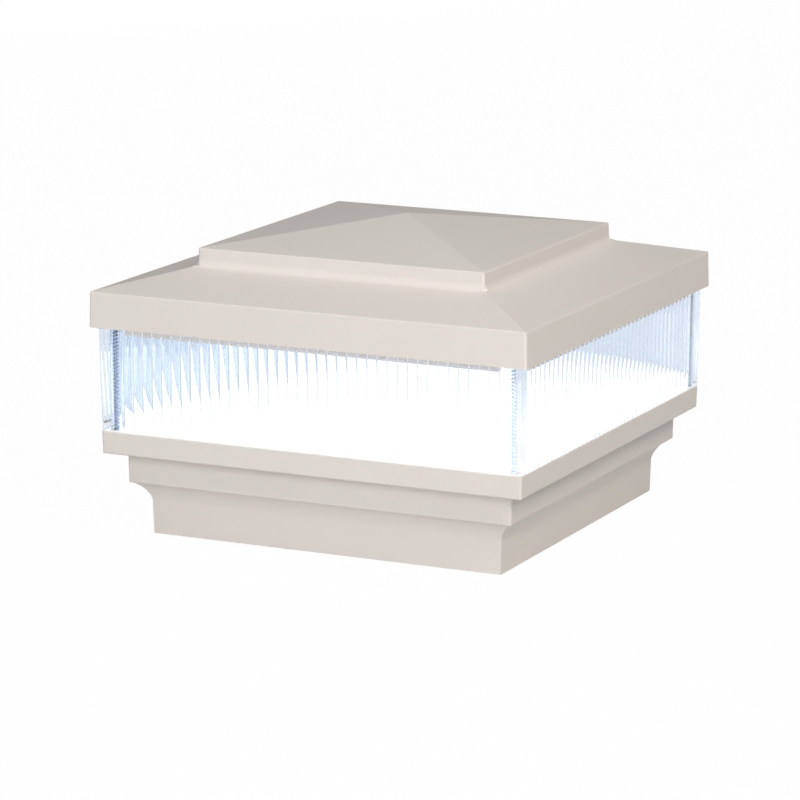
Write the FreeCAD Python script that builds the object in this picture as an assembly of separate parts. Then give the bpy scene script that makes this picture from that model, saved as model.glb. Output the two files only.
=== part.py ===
import FreeCAD, Part
import math
import os
from FreeCAD import Vector

# A low-voltage light that caps a square deck post. A two-tier hipped roof stands on a clear reeded
# lens, the lens stands on a stepped base, and the base's skirt slips over the post sleeve. Four long
# tie screws in the corners hold roof, lens and base together, and the lamp lies in the base's tray.
# Millimetres, +Z up. The origin is the middle of the skirt's foot. "Half" is half of a square's side.

# ---- Post and skirt ----
post_sleeve = 127.0            # outside of the square post sleeve
post_clearance = 0.8           # gap on each side between sleeve and skirt
skirt_wall = 2.5
skirt_height = 19.0            # from the foot to the underside of the step
skirt_draft = 0.45             # how much the skirt widens over its height, on each side
cove_radius = 5.0              # hollow under the step
cove_flat = 1.05               # flat left between the hollow and the step's edge
crush_rib_height = 0.6         # thin ribs inside the skirt that centre it on the sleeve
crush_rib_width = 1.2
crush_rib_pitch = 45.0
crush_rib_clear = 3.0          # the ribs stop this far from the skirt's foot and from the deck

# ---- Step, flange and deck of the base ----
step_height = 11.15
step_draft = 0.2
step_wall = 2.5
flange_height = 8.3
flange_overhang = 6.35
flange_draft = 0.2
flange_floor = 2.5
deck_thickness = 2.5
edge_radius = 0.7              # softened outer edges of the mouldings
corner_radius = 1.0            # softened upright corners of the mouldings
corner_flats = 4               # flats that round one upright corner
small_sides = 10               # sides of the small round bosses, screws and holes inside
pocket_wall = 1.8              # walls beside the cored pockets under the flange
pocket_roof = 1.4              # plastic left between a pocket and the seal's groove
pocket_rib = 2.0
pockets_per_side = 4

# ---- Lens ----
lens_setback = 0.1             # the lens foot stands this far inside the flange's top edge
lens_window = 36.8             # clear height between flange and roof rim
lens_tuck = 3.8                # how far the lens reaches up inside the rim
lens_wall = 3.0
lens_draft = 0.66              # how much the outside widens from foot to top, on each side
reed_pitch = 3.75
reed_height = 0.55
reeds_per_side = 40
reed_flats = 3                 # flats that round one reed
lens_play = 0.35               # gap between the reeds and what locates the lens
lens_corner_radius = 1.0
upstand_height = 4.4           # rib of the base that stands inside the lens foot
upstand_wall = 1.6
upstand_corner_gap = 6.0       # the ribs inside the lens stop this far short of its corners
seal_width = 1.6
seal_depth = 1.0
seal_inset = 0.8               # from the flange's outer face to the seal's groove

# ---- Roof ----
rim_clearance = 0.24           # between the lens top and the rim around it
rim_wall = 1.95
rim_height = 12.56
rim_draft = 0.3                # how much the rim narrows upwards, on each side
lower_roof_rise = 6.8
block_setback = 27.65          # from the rim's top edge in to the side of the block
block_height = 6.25
block_draft = 0.2
upper_roof_rise = 8.05
roof_wall = 2.2
block_foot_radius = 3.0
locating_rib_drop = 1.7        # how far the roof's inner rib reaches below the rim
locating_rib_wall = 1.8
roof_seal_thickness = 1.0
roof_seal_width = 2.6
gusset_thickness = 1.6
gusset_pitch = 24.0
gussets_per_side = 6

# ---- Tie screws ----
tie_screw_inset = 1.7          # from the lens's inner face to the screw's centre
tie_screw_radius = 1.25
tie_head_radius = 2.2
tie_head_height = 1.8
tie_hole_clearance = 0.3
head_recess_clearance = 0.4
head_recess_depth = 3.0
washer_thickness = 0.5
corner_boss_wall = 1.6
insert_radius = 2.1
insert_length = 4.5
insert_boss_wall = 1.5
insert_hole_extra = 0.7        # blind depth left above the insert
screw_engagement = 4.0         # how much of the screw is in the insert

# ---- Diffuser and reflector ----
pan_play = 0.3                 # gap around the diffuser and the reflector
pan_corner_radius = 8.0
diffuser_wall = 1.8
diffuser_below_upstand = 1.3   # its top lies this far below the top of the upstand
snap_tab_length = 8.0
snap_tab_reach = 0.8
snap_tab_height = 0.9
snap_tab_gap = 0.1
snap_tab_offset = 40.0
reflector_thickness = 1.5
reflector_lift = 1.8           # from the rim's bottom edge up to the reflector
reflector_screw_offset = 45.0
reflector_boss_radius = 3.2

# ---- Lamp ----
standoff_height = 4.0
standoff_radius = 3.0
small_screw_radius = 1.25
small_head_radius = 2.3
small_head_height = 1.5
small_screw_length = 4.2
small_screw_inset = 3.0
hole_clearance = 0.25
thread_clearance = 0.05
led_board_side = 50.0
led_board_thickness = 1.6
board_screw_inset = 3.2
board_screw_length = 2.8
spreader_margin = 6.0
spreader_thickness = 1.5
thermal_pad_side = 38.0
thermal_pad_thickness = 0.5
chip_length = 3.5
chip_width = 2.8
chip_height = 0.8
chip_pitch = 10.0
chips_per_row = 4

# ---- Driver ----
driver_length = 80.0
driver_width = 18.0
driver_thickness = 1.6
driver_gap = 5.8               # from the driver board's outer edge to the wall of the tray
terminal_inset = 14.0          # from the board's end by the cable to the middle of the terminal block
resistor_inset = 13.0          # from the board's other end to the middle of the resistors
rectifier_place = -12.0        # places along the driver board, from its middle
capacitor_place = -1.5
inductor_place = 9.0
driver_chip_place = 19.0
terminal_length = 10.0
terminal_width = 8.0
terminal_height = 9.0
terminal_screw_radius = 1.5
terminal_screw_height = 0.6
terminal_screw_pitch = 5.0
rectifier_length = 6.4
rectifier_width = 4.8
rectifier_height = 2.6
capacitor_radius = 4.0
capacitor_height = 10.0
inductor_radius = 4.0
inductor_core_radius = 2.6
inductor_height = 5.0
inductor_flange = 1.0
driver_chip_length = 5.0
driver_chip_width = 4.0
driver_chip_height = 1.6
resistor_length = 3.2
resistor_width = 1.6
resistor_height = 0.6
resistor_pitch = 3.0
lead_thickness = 1.2
lead_bend = 3.0                # inside radius of the bends
lead_rise = 7.0                # height of the leads' bridge above the driver board
lead_pitch = 8.0
lead_edge_inset = 2.0          # from each board's edge to the lead's solder point

# ---- Cable entry and post fixing ----
grommet_offset = 51.5          # from the middle along both sides
grommet_bore_radius = 3.0
grommet_neck_radius = 4.5
grommet_flange_radius = 6.0
grommet_flange_thickness = 1.5 # of the flange that lies on the deck
grommet_lip_thickness = 1.0    # of the lip that is sunk into the deck's underside
grommet_lip_lift = 0.2         # how far the lip stays above the deck's underside, clear of the post
grommet_lip_clearance = 0.1
fixing_spacing = 72.0
fixing_hole_radius = 2.25

# ---- Heights ----
step_z = skirt_height
deck_z = step_z + deck_thickness
flange_z = step_z + step_height
lens_z = flange_z + flange_height
cap_z = lens_z + lens_window
lens_top_z = cap_z + lens_tuck
upstand_top_z = lens_z + upstand_height
eave_z = cap_z + rim_height
block_z = eave_z + lower_roof_rise
block_top_z = block_z + block_height
apex_z = block_top_z + upper_roof_rise
gusset_z = lens_top_z + roof_seal_thickness
reflector_z = cap_z + reflector_lift
diffuser_top_z = upstand_top_z - diffuser_below_upstand
ledge_z = flange_z + flange_floor
grommet_lip_z = step_z + grommet_lip_lift
grommet_neck_z = grommet_lip_z + grommet_lip_thickness
grommet_top_z = deck_z + grommet_flange_thickness

# ---- Half widths ----
sleeve_half = post_sleeve / 2 + post_clearance
skirt_half = sleeve_half + skirt_wall
step_half = skirt_half + skirt_draft + cove_radius + cove_flat
step_top_half = step_half + step_draft
tray_half = step_half - step_wall
flange_half = step_top_half + flange_overhang
flange_top_half = flange_half + flange_draft
lens_half = flange_top_half - lens_setback
lens_top_half = lens_half + lens_draft
reed_root_half = lens_half - lens_wall
reed_crest_half = reed_root_half - reed_height
locating_half = reed_crest_half - lens_play
upstand_half = locating_half - upstand_wall
rib_half = locating_half - locating_rib_wall
rib_length = 2 * (reed_root_half - upstand_corner_gap)
rim_inner_half = lens_top_half + rim_clearance
rim_half = rim_inner_half + rim_wall
rim_top_half = rim_half - rim_draft
block_half = rim_top_half - block_setback
block_top_half = block_half - block_draft
tie_place = reed_root_half - tie_screw_inset
tie_boss_radius = tie_head_radius + head_recess_clearance + corner_boss_wall

# ---- Levels of the lamp ----
spreader_z = deck_z + standoff_height
pad_z = spreader_z + spreader_thickness
led_board_z = pad_z + thermal_pad_thickness
led_top_z = led_board_z + led_board_thickness
driver_z = deck_z + standoff_height
driver_top_z = driver_z + driver_thickness
spreader_half = led_board_side / 2 + spreader_margin
spreader_screw_place = spreader_half - small_screw_inset
board_screw_place = led_board_side / 2 - board_screw_inset
driver_screw_place = driver_length / 2 - small_screw_inset
driver_offset = tray_half - driver_gap - driver_width / 2
terminal_place = terminal_inset - driver_length / 2
resistor_place = driver_length / 2 - resistor_inset
head_seat_z = flange_z + head_recess_depth


# ---- Helpers ----
def corner_points(place):
    return [(x, y) for x in (-place, place) for y in (-place, place)]


def turned(shape, quarter_turns):
    copy = shape.copy()
    copy.rotate(Vector(0, 0, 0), Vector(0, 0, 1), 90 * quarter_turns)
    return copy


def on_four_sides(shape):
    return [turned(shape, side) for side in range(4)]


def block(x0, x1, y0, y1, z0, z1):
    return Part.makeBox(x1 - x0, y1 - y0, z1 - z0, Vector(x0, y0, z0))


def seated(length, width, height, x, y, z):
    """A block standing on z, with its middle over x, y."""
    return block(x - length / 2, x + length / 2, y - width / 2, y + width / 2, z, z + height)


def post(radius, x, y, z0, z1):
    return Part.makeCylinder(radius, z1 - z0, Vector(x, y, z0))


def small_post(radius, x, y, z0, z1):
    """A small round piece or hole, drawn with a few flats."""
    rim = [Vector(x + radius * math.cos(turn), y + radius * math.sin(turn), z0)
           for turn in [2 * math.pi * index / small_sides for index in range(small_sides)]]
    return Part.Face(Part.makePolygon(rim + rim[:1])).extrude(Vector(0, 0, z1 - z0))


def square_bar(half, z0, z1):
    return block(-half, half, -half, half, z0, z1)


def square_ring(outer, inner, z0, z1):
    return square_bar(outer, z0, z1).cut(square_bar(inner, z0, z1))


def rounded_plate(half, radius, z0, z1):
    plate = square_bar(half, z0, z1)
    uprights = [edge for edge in plate.Edges if abs(edge.tangentAt(edge.FirstParameter).z) > 0.99]
    return plate.makeFillet(radius, uprights)


def softened(outline):
    """Edges along (half, z, radius) points, with an arc of that radius at each inner point."""
    points = [Vector(half, 0, z) for half, z, _ in outline]
    edges = []
    start = points[0]
    for index in range(1, len(points) - 1):
        corner = points[index]
        radius = outline[index][2]
        back = (points[index - 1] - corner).normalize()
        ahead = (points[index + 1] - corner).normalize()
        half_angle = back.getAngle(ahead) / 2
        if radius == 0:
            edges.append(Part.makeLine(start, corner))
            start = corner
            continue
        reach = radius / math.tan(half_angle)
        inward = (back + ahead).normalize()
        centre = corner + inward * (radius / math.sin(half_angle))
        first = corner + back * reach
        last = corner + ahead * reach
        edges.append(Part.makeLine(start, first))
        edges.append(Part.Arc(first, centre - inward * radius, last).toShape())
        start = last
    edges.append(Part.makeLine(start, points[-1]))
    return edges


def mitred(outline):
    """The square solid whose four sides all follow this outline, mitred at the corners."""
    right = softened(outline)
    left = [edge.mirror(Vector(0, 0, 0), Vector(1, 0, 0)) for edge in right]
    foot, top = outline[0], outline[-1]
    edges = right + left
    edges.append(Part.makeLine(Vector(-foot[0], 0, foot[1]), Vector(foot[0], 0, foot[1])))
    if top[0] > 0:
        edges.append(Part.makeLine(Vector(-top[0], 0, top[1]), Vector(top[0], 0, top[1])))
    face = Part.Face(Part.Wire(Part.__sortEdges__(edges)))
    reach = 2 * max(half for half, _, _ in outline)
    slab = face.extrude(Vector(0, reach, 0))
    slab.translate(Vector(0, -reach / 2, 0))
    return slab.common(turned(slab, 1))


def corner_cutters(half, top_half, z0, z1, radius):
    """Bars that round the four upright corners of a square tier between two heights."""
    inner = half - radius
    outer = half + radius
    round_edge = []
    for index in range(corner_flats + 1):
        turn = math.pi / 2 * index / corner_flats
        round_edge.append(Vector(inner + radius * math.cos(turn), inner + radius * math.sin(turn), z0))
    rim = [Vector(outer, inner, z0)] + round_edge + [Vector(inner, outer, z0), Vector(outer, outer, z0)]
    lean = Vector(top_half - half, top_half - half, z1 - z0)
    return on_four_sides(Part.Face(Part.makePolygon(rim + rim[:1])).extrude(lean))


def screw(x, y, seat_z, head_radius, head_height, radius, length, way):
    """A pan-head screw whose head rests on seat_z; way is +1 when the shank points up."""
    head = small_post(head_radius, x, y, *sorted((seat_z, seat_z - way * head_height)))
    shank = small_post(radius, x, y, *sorted((seat_z, seat_z + way * length)))
    return head.fuse(shank)


def washer(outer, bore, x, y, z0, z1):
    return small_post(outer, x, y, z0, z1).cut(small_post(bore, x, y, z0, z1))


def small_screw(x, y, seat_z, length, way):
    return screw(x, y, seat_z, small_head_radius, small_head_height, small_screw_radius, length, way)


def pilot(x, y, z0, z1):
    return small_post(small_screw_radius + thread_clearance, x, y, z0, z1)


def clear_hole(x, y, z0, z1):
    return small_post(small_screw_radius + hole_clearance, x, y, z0, z1)


# ---- Base ----
def base_outside():
    skirt = mitred([(skirt_half, 0, 0),
                    (skirt_half + skirt_draft, step_z, cove_radius),
                    (step_half, step_z, edge_radius),
                    (step_top_half, flange_z, 0),
                    (flange_half, flange_z, edge_radius),
                    (flange_top_half, lens_z, edge_radius),
                    (reed_root_half, lens_z, 0)])
    corners = corner_cutters(step_half, step_top_half, step_z, flange_z, corner_radius)
    corners += corner_cutters(flange_half, flange_top_half, flange_z, lens_z, corner_radius)
    return skirt.cut(corners)


def base_hollows():
    socket = square_bar(sleeve_half, -edge_radius, step_z)
    tray = square_bar(tray_half, deck_z, lens_z + edge_radius)
    pan_seat = square_bar(upstand_half, ledge_z, lens_z + edge_radius)
    return socket.fuse([tray, pan_seat])


def upstand():
    rib = block(upstand_half, locating_half, -rib_length / 2, rib_length / 2, ledge_z, upstand_top_z)
    tab_foot = diffuser_top_z + snap_tab_gap
    nose = [Vector(upstand_half, 0, tab_foot),
            Vector(upstand_half - snap_tab_reach, 0, tab_foot),
            Vector(upstand_half, 0, tab_foot + snap_tab_height)]
    wedge = Part.Face(Part.makePolygon(nose + nose[:1])).extrude(Vector(0, snap_tab_length, 0))
    tabs = []
    for place in (-snap_tab_offset, snap_tab_offset):
        tab = wedge.copy()
        tab.translate(Vector(0, place - snap_tab_length / 2, 0))
        tabs.append(tab)
    return on_four_sides(rib.fuse(tabs))


def crush_ribs():
    rib = block(sleeve_half - crush_rib_height, sleeve_half, -crush_rib_width / 2, crush_rib_width / 2,
                crush_rib_clear, step_z - crush_rib_clear)
    ribs = []
    for place in (-crush_rib_pitch, 0, crush_rib_pitch):
        copy = rib.copy()
        copy.translate(Vector(0, place, 0))
        ribs += on_four_sides(copy)
    return ribs


def flange_pockets():
    """Cored pockets under the flange, with cross ribs between them."""
    inner = upstand_half + pocket_wall
    outer = flange_half - pocket_wall
    run = rib_length - 2 * pocket_rib
    length = (run - (pockets_per_side - 1) * pocket_rib) / pockets_per_side
    pockets = []
    for index in range(pockets_per_side):
        y0 = -run / 2 + index * (length + pocket_rib)
        pocket = block(inner, outer, y0, y0 + length, flange_z - edge_radius,
                       lens_z - seal_depth - pocket_roof)
        pockets += on_four_sides(pocket)
    return pockets


def seal_ring():
    outer = flange_top_half - seal_inset
    return square_ring(outer, outer - seal_width, lens_z - seal_depth, lens_z)


def base_housing():
    body = base_outside().cut(base_hollows())
    bosses = [small_post(tie_boss_radius, x, y, flange_z, lens_z) for x, y in corner_points(tie_place)]
    corner_fill = [boss.common(square_bar(flange_half - corner_radius, flange_z, lens_z)) for boss in bosses]
    standoffs = [small_post(standoff_radius, x, y, deck_z, spreader_z)
                 for x, y in corner_points(spreader_screw_place)]
    standoffs += [small_post(standoff_radius, x, driver_offset, deck_z, driver_z)
                  for x in (-driver_screw_place, driver_screw_place)]
    body = body.fuse(corner_fill + standoffs + upstand() + crush_ribs())
    cuts = flange_pockets() + [seal_ring()]
    shank_hole = tie_screw_radius + tie_hole_clearance
    head_recess = tie_head_radius + head_recess_clearance
    for x, y in corner_points(tie_place):
        cuts.append(small_post(shank_hole, x, y, flange_z, lens_z + edge_radius))
        cuts.append(small_post(head_recess, x, y, flange_z - edge_radius, head_seat_z))
    cuts += [pilot(x, y, deck_z, spreader_z) for x, y in corner_points(spreader_screw_place)]
    cuts += [pilot(x, driver_offset, deck_z, driver_z) for x in (-driver_screw_place, driver_screw_place)]
    cuts += [post(fixing_hole_radius, x, y, step_z, deck_z) for x, y in corner_points(fixing_spacing / 2)]
    lip_recess = grommet_flange_radius + grommet_lip_clearance
    cuts.append(post(grommet_neck_radius, -grommet_offset, grommet_offset, step_z, deck_z))
    cuts.append(post(lip_recess, -grommet_offset, grommet_offset, step_z, grommet_neck_z))
    return body.cut(cuts).removeSplitter()


def cable_grommet():
    """A rubber grommet: a flange on the deck, a neck through it and a lip sunk into its underside."""
    x, y = -grommet_offset, grommet_offset
    lip = post(grommet_flange_radius, x, y, grommet_lip_z, grommet_neck_z)
    neck = post(grommet_neck_radius, x, y, grommet_neck_z, deck_z)
    flange = post(grommet_flange_radius, x, y, deck_z, grommet_top_z)
    bore = post(grommet_bore_radius, x, y, grommet_lip_z, grommet_top_z)
    return lip.fuse([neck, flange]).cut(bore).removeSplitter()


# ---- Tie screws ----
def tie_screws():
    seat = head_seat_z - washer_thickness
    length = gusset_z + screw_engagement - seat
    return Part.makeCompound([screw(x, y, seat, tie_head_radius, tie_head_height, tie_screw_radius, length, 1)
                              for x, y in corner_points(tie_place)])


def tie_screw_washers():
    seat = head_seat_z - washer_thickness
    bore = tie_screw_radius + thread_clearance
    return Part.makeCompound([washer(tie_head_radius, bore, x, y, seat, head_seat_z)
                              for x, y in corner_points(tie_place)])


def threaded_inserts():
    bore = tie_screw_radius + tie_hole_clearance
    return Part.makeCompound([washer(insert_radius, bore, x, y, gusset_z, gusset_z + insert_length)
                              for x, y in corner_points(tie_place)])


# ---- Lens ----
def reeded_outline():
    """The lens's inner outline: a square whose sides carry rounded reeds that bulge inwards."""
    run = reeds_per_side * reed_pitch
    reed_radius = (reed_pitch ** 2 / 4 + reed_height ** 2) / (2 * reed_height)
    swing = math.asin(reed_pitch / 2 / reed_radius)
    side = [Vector(reed_root_half, -reed_root_half, 0)]
    for reed in range(reeds_per_side):
        middle = -run / 2 + (reed + 0.5) * reed_pitch
        for flat in range(reed_flats):
            turn = -swing + 2 * swing * flat / reed_flats
            drop = reed_radius * (math.cos(turn) - math.cos(swing))
            side.append(Vector(reed_root_half - drop, middle + reed_radius * math.sin(turn), 0))
    side.append(Vector(reed_root_half, run / 2, 0))
    rim = []
    for quarter in range(4):
        turn = FreeCAD.Rotation(Vector(0, 0, 1), 90 * quarter)
        rim += [turn.multVec(point) for point in side]
    return Part.makePolygon(rim + rim[:1])


def lens():
    outside = mitred([(lens_half, lens_z, 0), (lens_top_half, lens_top_z, 0)])
    outside = outside.cut(corner_cutters(lens_half, lens_top_half, lens_z, lens_top_z, lens_corner_radius))
    inside = Part.Face(reeded_outline()).extrude(Vector(0, 0, lens_top_z - lens_z))
    inside.translate(Vector(0, 0, lens_z))
    return outside.cut(inside)


# ---- Roof ----
def roof_outside():
    roof = mitred([(rim_half, cap_z, 0),
                   (rim_top_half, eave_z, edge_radius),
                   (block_half, block_z, block_foot_radius),
                   (block_top_half, block_top_z, edge_radius),
                   (0, apex_z, 0)])
    corners = corner_cutters(rim_half, rim_top_half, cap_z, eave_z + edge_radius, corner_radius)
    corners += corner_cutters(block_half, block_top_half, block_z, block_top_z + edge_radius, corner_radius)
    return roof.cut(corners)


def roof_hollow():
    lower_slope = math.atan2(lower_roof_rise, block_setback)
    upper_slope = math.atan2(upper_roof_rise, block_top_half)
    lower_drop = roof_wall / math.cos(lower_slope)
    upper_drop = roof_wall / math.cos(upper_slope)
    eave_half = rim_top_half - rim_wall
    inner_block_half = block_half - roof_wall
    inner_top_half = block_top_half - roof_wall
    inner_eave_z = eave_z + (rim_top_half - eave_half) * math.tan(lower_slope) - lower_drop
    inner_block_z = eave_z + (rim_top_half - inner_block_half) * math.tan(lower_slope) - lower_drop
    inner_top_z = block_top_z + (block_top_half - inner_top_half) * math.tan(upper_slope) - upper_drop
    return mitred([(rim_inner_half, cap_z - edge_radius, 0),
                   (rim_inner_half, cap_z, 0),
                   (eave_half, inner_eave_z, 0),
                   (inner_block_half, inner_block_z, 0),
                   (inner_top_half, inner_top_z, 0),
                   (0, apex_z - upper_drop, 0)])


def roof_gussets():
    gussets = []
    for index in range(gussets_per_side):
        place = (index - (gussets_per_side - 1) / 2) * gusset_pitch
        gusset = block(rib_half, rim_inner_half, place - gusset_thickness / 2, place + gusset_thickness / 2,
                       gusset_z, block_z)
        gussets += on_four_sides(gusset)
    return gussets


def roof_inner_ribs():
    rib = block(rib_half, locating_half, -rib_length / 2, rib_length / 2, cap_z - locating_rib_drop, block_z)
    return on_four_sides(rib)


def roof_bosses():
    insert_boss_radius = insert_radius + insert_boss_wall
    bosses = [small_post(insert_boss_radius, x, y, gusset_z, block_z) for x, y in corner_points(tie_place)]
    seat = reflector_z + reflector_thickness
    bosses += [small_post(reflector_boss_radius, x, y, seat, apex_z)
               for x, y in corner_points(reflector_screw_offset)]
    return bosses


def cap_shell():
    outside = roof_outside()
    inner_parts = roof_gussets() + roof_inner_ribs() + roof_bosses()
    below_rim = square_bar(locating_half, cap_z - locating_rib_drop, cap_z)
    reach = outside.fuse(below_rim)
    kept = [piece.common(reach) for piece in inner_parts]
    shell = outside.cut(roof_hollow()).fuse(kept)
    cuts = []
    for x, y in corner_points(tie_place):
        cuts.append(small_post(insert_radius, x, y, gusset_z, gusset_z + insert_length + insert_hole_extra))
    seat = reflector_z + reflector_thickness
    for x, y in corner_points(reflector_screw_offset):
        cuts.append(pilot(x, y, seat, seat + small_screw_length))
    return shell.cut(cuts).removeSplitter()


def cap_seal():
    outer = lens_top_half - lens_play
    return square_ring(outer, outer - roof_seal_width, lens_top_z, gusset_z)


def reflector_plate():
    top = reflector_z + reflector_thickness
    plate = rounded_plate(rib_half - pan_play, pan_corner_radius, reflector_z, top)
    return plate.cut([clear_hole(x, y, reflector_z, top) for x, y in corner_points(reflector_screw_offset)])


def reflector_screws():
    return Part.makeCompound([small_screw(x, y, reflector_z, small_screw_length, 1)
                              for x, y in corner_points(reflector_screw_offset)])


# ---- Diffuser ----
def diffuser():
    half = upstand_half - pan_play
    pan = rounded_plate(half, pan_corner_radius, ledge_z, diffuser_top_z)
    inside = rounded_plate(half - diffuser_wall, pan_corner_radius - diffuser_wall, ledge_z,
                           diffuser_top_z - diffuser_wall)
    return pan.cut(inside)


# ---- Lamp ----
def heat_spreader():
    plate = square_bar(spreader_half, spreader_z, pad_z)
    holes = [clear_hole(x, y, spreader_z, pad_z) for x, y in corner_points(spreader_screw_place)]
    holes += [pilot(x, y, spreader_z, pad_z) for x, y in corner_points(board_screw_place)]
    return plate.cut(holes)


def spreader_screws():
    length = spreader_thickness + standoff_height - hole_clearance
    return Part.makeCompound([small_screw(x, y, pad_z, length, -1)
                              for x, y in corner_points(spreader_screw_place)])


def thermal_pad():
    return square_bar(thermal_pad_side / 2, pad_z, led_board_z)


def led_board():
    board = square_bar(led_board_side / 2, led_board_z, led_top_z)
    return board.cut([clear_hole(x, y, led_board_z, led_top_z) for x, y in corner_points(board_screw_place)])


def led_board_screws():
    return Part.makeCompound([small_screw(x, y, led_top_z, board_screw_length, -1)
                              for x, y in corner_points(board_screw_place)])


def led_chips():
    places = [(index - (chips_per_row - 1) / 2) * chip_pitch for index in range(chips_per_row)]
    return Part.makeCompound([seated(chip_length, chip_width, chip_height, x, y, led_top_z)
                              for x in places for y in places])


# ---- Driver ----
def driver_board():
    half_length, half_width = driver_length / 2, driver_width / 2
    board = block(-half_length, half_length, driver_offset - half_width, driver_offset + half_width,
                  driver_z, driver_top_z)
    return board.cut([clear_hole(x, driver_offset, driver_z, driver_top_z)
                      for x in (-driver_screw_place, driver_screw_place)])


def driver_board_screws():
    length = driver_thickness + standoff_height - hole_clearance
    return Part.makeCompound([small_screw(x, driver_offset, driver_top_z, length, -1)
                              for x in (-driver_screw_place, driver_screw_place)])


def on_driver_board(length, width, height, place):
    return seated(length, width, height, place, driver_offset, driver_top_z)


def terminal_block():
    return on_driver_board(terminal_length, terminal_width, terminal_height, terminal_place)


def terminal_screws():
    top = driver_top_z + terminal_height
    places = [terminal_place + side * terminal_screw_pitch / 2 for side in (-1, 1)]
    return Part.makeCompound([small_post(terminal_screw_radius, x, driver_offset,
                                         top, top + terminal_screw_height) for x in places])


def smoothing_capacitor():
    top = driver_top_z + capacitor_height
    can = post(capacitor_radius, capacitor_place, driver_offset, driver_top_z, top)
    top_edge = [edge for edge in can.Edges if edge.CenterOfMass.z > top - edge_radius]
    return can.makeChamfer(edge_radius, top_edge)


def power_inductor():
    """A bobbin: a core between two round flanges."""
    x, y, foot = inductor_place, driver_offset, driver_top_z
    top = foot + inductor_height
    lower = small_post(inductor_radius, x, y, foot, foot + inductor_flange)
    core = small_post(inductor_core_radius, x, y, foot, top)
    upper = small_post(inductor_radius, x, y, top - inductor_flange, top)
    return core.fuse([lower, upper])


def sense_resistors():
    return Part.makeCompound([seated(resistor_length, resistor_width, resistor_height, resistor_place,
                                     driver_offset + side * resistor_pitch, driver_top_z)
                              for side in (-1, 0, 1)])


def jumper_lead(x):
    """One flat lead, bent up from the driver board, across, and down to the LED board."""
    start_y = driver_offset - driver_width / 2 + lead_edge_inset
    end_y = led_board_side / 2 - lead_edge_inset
    bridge_z = driver_top_z + lead_rise
    half = lead_thickness / 2
    edges = []
    for side, top_z, bend in ((half, bridge_z, lead_bend + lead_thickness),
                              (-half, bridge_z - lead_thickness, lead_bend)):
        edges += softened([(start_y + side, driver_top_z, 0), (start_y + side, top_z, bend),
                           (end_y - side, top_z, bend), (end_y - side, led_top_z, 0)])
    for y, z in ((start_y, driver_top_z), (end_y, led_top_z)):
        edges.append(Part.makeLine(Vector(y - half, 0, z), Vector(y + half, 0, z)))
    strip = Part.Face(Part.Wire(Part.__sortEdges__(edges)))
    lead = turned(strip.extrude(Vector(0, lead_thickness, 0)), 1)
    lead.translate(Vector(x + half, 0, 0))
    return lead


def jumper_leads():
    return Part.makeCompound([jumper_lead(side * lead_pitch / 2) for side in (-1, 1)])


# ---- The parts ----
parts = {
    "base_housing": base_housing(),
    "cable_grommet": cable_grommet(),
    "lens_seal": seal_ring(),
    "tie_screws": tie_screws(),
    "tie_screw_washers": tie_screw_washers(),
    "heat_spreader": heat_spreader(),
    "spreader_screws": spreader_screws(),
    "thermal_pad": thermal_pad(),
    "led_board": led_board(),
    "led_board_screws": led_board_screws(),
    "led_chips": led_chips(),
    "driver_board": driver_board(),
    "driver_board_screws": driver_board_screws(),
    "terminal_block": terminal_block(),
    "terminal_screws": terminal_screws(),
    "bridge_rectifier": on_driver_board(rectifier_length, rectifier_width, rectifier_height, rectifier_place),
    "smoothing_capacitor": smoothing_capacitor(),
    "power_inductor": power_inductor(),
    "driver_chip": on_driver_board(driver_chip_length, driver_chip_width, driver_chip_height,
                                   driver_chip_place),
    "sense_resistors": sense_resistors(),
    "jumper_leads": jumper_leads(),
    "diffuser": diffuser(),
    "lens": lens(),
    "cap_shell": cap_shell(),
    "cap_seal": cap_seal(),
    "reflector_plate": reflector_plate(),
    "reflector_screws": reflector_screws(),
    "threaded_inserts": threaded_inserts(),
}

os.makedirs("parts", exist_ok=True)
for name, shape in parts.items():
    shape.exportStep(f"parts/{name}.step")
    print(f"{name}: {len(shape.Solids)} solid(s), valid {shape.isValid()}, {shape.Volume / 1000:.2f} cm3")
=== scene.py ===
import math
import bpy
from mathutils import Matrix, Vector


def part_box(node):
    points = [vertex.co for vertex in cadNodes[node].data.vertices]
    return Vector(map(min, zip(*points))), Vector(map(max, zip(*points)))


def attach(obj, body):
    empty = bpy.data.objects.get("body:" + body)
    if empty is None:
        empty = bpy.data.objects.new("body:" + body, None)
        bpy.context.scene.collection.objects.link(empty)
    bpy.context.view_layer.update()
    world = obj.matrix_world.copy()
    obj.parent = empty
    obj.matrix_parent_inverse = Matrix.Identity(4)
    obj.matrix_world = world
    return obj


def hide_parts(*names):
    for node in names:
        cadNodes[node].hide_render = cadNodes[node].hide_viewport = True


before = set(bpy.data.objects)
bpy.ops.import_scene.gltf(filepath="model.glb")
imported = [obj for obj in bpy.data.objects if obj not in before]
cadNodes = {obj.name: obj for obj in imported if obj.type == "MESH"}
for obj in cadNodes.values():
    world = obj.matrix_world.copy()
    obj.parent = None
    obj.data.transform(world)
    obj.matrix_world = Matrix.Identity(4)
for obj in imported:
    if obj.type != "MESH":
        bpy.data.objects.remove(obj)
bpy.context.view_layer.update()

# A light that caps a square deck post, in metres. The moulded parts keep their solids and get their
# finishes here. The reeded lens, the screws and the small turned rings are modelled finer, and the
# hollow under the step and the ribs inside the rim are filled out a little.
mm = 0.001
samePoint = 0.001 * mm
nearby = 0.01 * mm

# ---- camera ----
cameraSetup = {
    "eye": (0.5985, -1.2563, 0.3469),
    "target": (-0.00237, -0.00113, 0.04097),
    "lens": 179.3,
    "sensor": 36.0,
    "clipStart": 0.05,
    "clipEnd": 50,
}


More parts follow.
